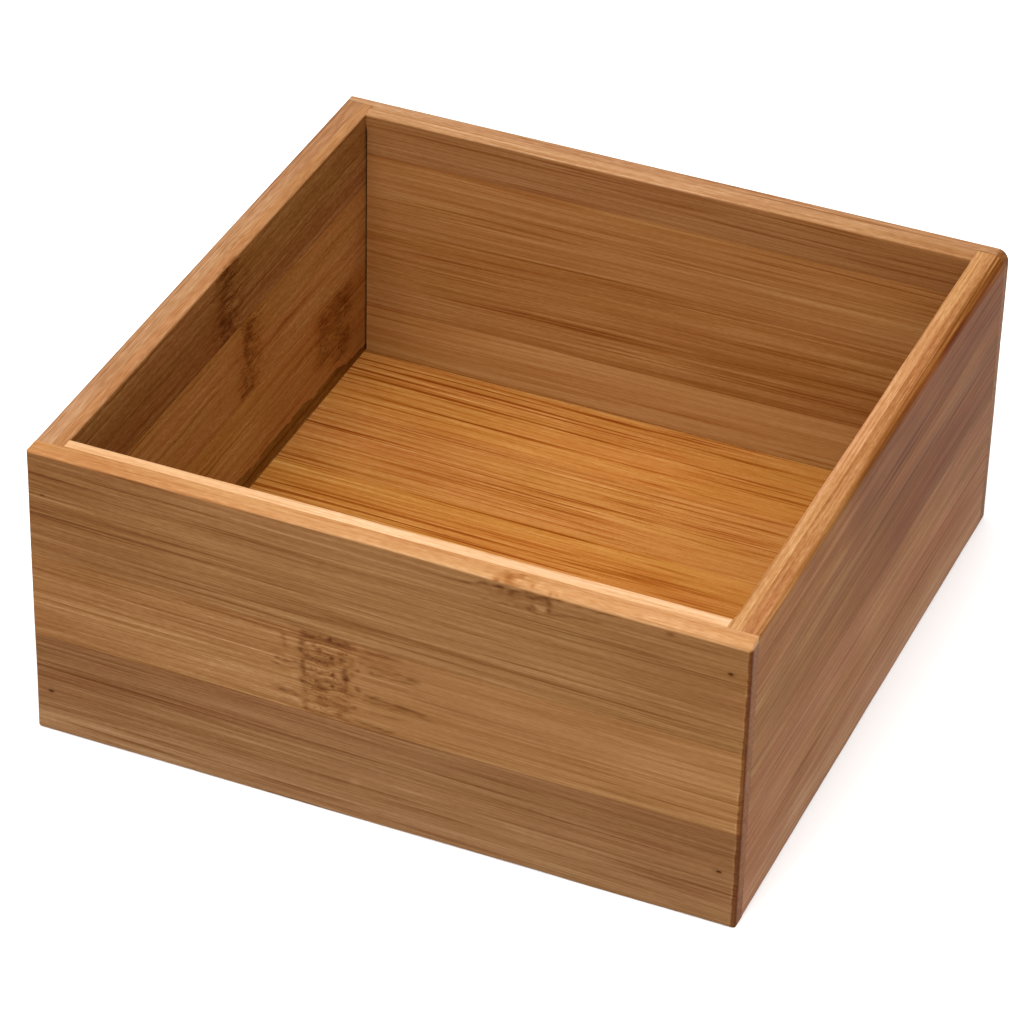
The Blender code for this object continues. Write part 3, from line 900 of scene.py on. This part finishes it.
right_outer_seams = [(11.0, 0.01), (33.2, -0.004), (55.2, 0.012)]
right_inner_seams = [(22.0, 0.008), (44.2, -0.004)]
right_section = board_outline(side_thickness, side_layer, 0.8, 1.4, [(rim, 3.0, 0.14)], [(0.0, 3.0, 0.14)])
right_rings = side_board_rings(right_section, 0.9)
right_rings = eased_side(right_rings, right_rounding(right_rings[..., 1]), 101)
right_rings[..., 0] = half_width - right_rings[..., 0]
right_mesh = skin("right_side_board_bamboo", right_rings)


def grow_right(mesh):
    """The grain of the right board, with painted light that makes its outer face lighter towards the
    front and darker towards the upper back, browner in the upper far part of its outer face, and dark
    fibres along its rounded edge towards the back."""
    x, y, z = places_of(mesh).T
    depth = half_width - x
    outer = depth < side_layer - hairline / 2
    number = strip_number(y, z, outer, right_outer_seams, right_inner_seams)
    radius = right_rounding(y)
    turned_edge = rise(rim - radius, rim - 0.4 * radius, z) * rise(1.2 * radius, 0.6 * radius, depth)
    on_rim = rim_mask(z) * (1.0 - 0.6 * turned_edge)
    outer_face = face_mask(depth)
    stain = turned_edge * rise(-30, 45, y) * (0.11 + 0.36 * drift(y / 14, (depth + z - rim) / 0.32, 103))
    patches = drift(y / 14 + 40 * np.floor(number), z / 3, 105)
    olive = rise(-30, 15, y) * between(33, 50, 1.2, z)
    crown = rise(-30, -10, y) * rise(53, 57, z)
    middle = bell(y + 12, 20)
    above = rise(32, 34.5, z)
    browned = rise(-10, 25, y) * above * outer_face
    # Some of these terms paint light along the face: lighter towards the front end and darker towards the
    # upper back.
    stain += outer_face * (0.15 * olive + 0.2 * crown - (0.2 + 0.04 * middle) * rise(14, 4, z)
                           - (0.08 + 0.03 * middle) * between(11, 29, 6, z) * rise(60, 20, y)
                           + 0.05 * rise(45, 65, y) * between(20, 33, 3, z)
                           - 0.05 * rise(-35, -60, y) * between(43, 56, 2, z)
                           - 0.02 * rise(-25, -70, y) + 0.06 * patches + 0.035 * rise(-5, 15, y) * above)
    stain += 0.075 * browned
    stain += on_rim * (0.08 * bell(y - 12, 18) * outer + 0.07 * rise(20, 45, y) * (1.0 - outer)
                       - 0.12 * bell(depth - 5.0, 0.9) * rise(20, 50, y)
                       - 0.06 * rise(-50, -62, y) + 0.06 * rise(5, 60, y)
                       + 0.05 * bell(y + 20, 30) * outer + 0.07 * drift(y / 50, depth / 0.45, 106))
    sway = 0.6 * drift(y / 60, z / 22, 104)
    store(mesh, grain=np.column_stack([y, z + sway, depth]), strip=number, stain=stain,
          shade=-0.12 * browned, rim=on_rim, busy=1.05 + 0.35 * on_rim)
    raise_relief(mesh, planed_relief(y, z + depth, number, 111))


grow_right(right_mesh)
right_bamboo = bamboo("right_bamboo", faces={
    0: (0.213, 0.083, 0.0325), 1: (0.21, 0.081, 0.0278), 2: (0.191, 0.076, 0.0196),
    3: (0.203, 0.078, 0.0184), 8: (0.2, 0.085, 0.027)},
    rims={0: (0.276, 0.118, 0.042), 8: (0.35, 0.17, 0.069)}, ends=(0.18, 0.072, 0.026), seed=4,
    tone=0.95, line_depth=0.16, tint=0.005)
stand_for("right_side_board", right_mesh, right_bamboo)


# The floor panel. One thin bamboo panel of a warmer amber, its fibres running left to right, let
# into the groove round the walls without glue so that it can swell and shrink.
panel_section = outline([
    ((panel_low[1], panel_high[2]), 1.3, []),
    ((panel_high[1], panel_high[2]), 0.5, []),
    ((panel_high[1], panel_low[2]), 1.3, []),
    ((panel_low[1], panel_low[2]), 3.0, [])])
panel_rings = np.stack([np.column_stack([np.full(len(panel_section), x), panel_section])
                        for x in spaced(panel_low[0], panel_high[0], 0.9)])
panel_mesh = skin("floor_panel_bamboo", panel_rings)
panel_lines = [(-69.8, -33.0, 27.4, 0.13), (-69.8, -34.0, 26.6, 0.13), (16.0, 41.0, 23.5, 0.2),
               (21.6, 41.6, 36.6, 0.16), (-25.0, 5.0, 45.0, 0.1), (30.0, 65.0, 9.0, 0.12)]


def grow_panel(mesh):
    """The grain of the floor: fibres along X, shorter at the right, strips from front to back with
    hardly a line between, and a few long dark lines, each (from, to, place along Y, darkness)."""
    x, y, z = places_of(mesh).T
    number = 1.0 + (y - panel_low[1]) / 23.5
    stain = -0.09 * rise(-16, -28, y) - 0.03 * rise(40, 46, y) * rise(30, -10, x)
    stain += 0.06 * rise(45, 62, x) * rise(5, 30, y)
    wander = 0.3 * drift(x / 20, 0 * y, 126)
    for start, end, place, dark in panel_lines:
        stain += dark * bell(y - place - wander, 0.3) * between(start, end, 6, x)
    sway = 0.6 * drift(x / 70, y / 20, 124)
    grain = np.column_stack([x + np.clip(x, 0, None), y + 0.008 * x + sway, z])
    store(mesh, grain=grain, strip=number, stain=stain, busy=np.interp(x, [-10, 30], [1.4, 1.0]))
    top = z > panel_high[2] - 0.1
    raise_relief(mesh, 0.6 * planed_relief(x, y, number, 121) * top)


grow_panel(panel_mesh)
floor_bamboo = bamboo("floor_bamboo", faces={
    1: (0.332, 0.127, 0.024), 2: (0.34, 0.131, 0.025), 3: (0.328, 0.125, 0.0235), 4: (0.34, 0.131, 0.025),
    5: (0.334, 0.13, 0.029), 6: (0.34, 0.131, 0.0262), 7: (0.335, 0.129, 0.0245)},
    rims={0: (0.33, 0.127, 0.024), 8: (0.33, 0.127, 0.024)}, ends=(0.2, 0.08, 0.02), seed=5,
    tone=1.1, line_depth=0.42, line_size=(60.0, 0.62), tint=0.003)
stand_for("floor_panel", panel_mesh, floor_bamboo)


# The brads. Fine steel nails with small lost heads, driven through the lips of the end boards into
# the ends of the side boards and sunk under the surface; age has browned the heads.
brad_steel, steel_tree, steel_shader = new_material("browned_steel", Metallic=0.3, Roughness=0.55,
                                                    Specular_IOR_Level=0.1)
steel_place = add_node(steel_tree, "TexCoord").outputs["Object"]
rust = add_node(steel_tree, "TexNoise", {"Vector": steel_place, "Scale": 2600.0, "Detail": 3.0})
rust_colour = add_node(steel_tree, "ValToRGB", {"Fac": rust.outputs[0]})
for stop, place, colour in ((0, 0.35, (0.055, 0.024, 0.011, 1.0)), (1, 0.7, (0.115, 0.055, 0.028, 1.0))):
    rust_colour.color_ramp.elements[stop].position = place
    rust_colour.color_ramp.elements[stop].color = colour
steel_tree.links.new(rust_colour.outputs[0], steel_shader.inputs["Base Color"])
steel_bump = add_node(steel_tree, "Bump", {"Height": rust.outputs[0], "Strength": 0.4, "Distance": 0.00003})
steel_tree.links.new(steel_bump.outputs[0], steel_shader.inputs["Normal"])


def brad_rings(low, high, end, sides=24):
    """A nail's profile carried round its own axis: radius by distance from the head.

    The head is a shallow dish with a rounded edge, two gripping rings follow it, and the shank
    tapers to the point.
    """
    length, head = high[1] - low[1], (high[0] - low[0]) / 2
    shank = 0.7 * head
    profile = np.array([
        (0.0, 0.1 * head), (0.45 * head, 0.06 * head), (0.8 * head, 0.0), (0.93 * head, 0.02 * head),
        (head, 0.16 * head), (head, 0.6 * head), (0.93 * head, 0.74 * head), (shank, 0.86 * head),
        (shank, 0.1 * length), (0.94 * shank, 0.11 * length), (shank, 0.12 * length),
        (shank, 0.15 * length), (0.94 * shank, 0.16 * length), (shank, 0.17 * length),
        (shank, 0.89 * length), (0.45 * shank, 0.96 * length), (0.08 * shank, length)])
    angle = np.linspace(0.0, math.tau, sides, endpoint=False)
    across, up = (low[0] + high[0]) / 2, (low[2] + high[2]) / 2
    start, inward = (low[1], 1.0) if end == "front" else (high[1], -1.0)
    return np.stack([np.column_stack([across + r * np.cos(angle), np.full(sides, start + inward * s),
                                      up + r * np.sin(angle)]) for r, s in profile])


for end in ("front", "back"):
    for side in ("left", "right"):
        for height in ("upper", "lower"):
            brad = f"brad_{end}_{side}_{height}"
            rings = brad_rings(*corners_of(brad), end)
            stand_for(brad, skin(f"{brad}_steel", rings), brad_steel)
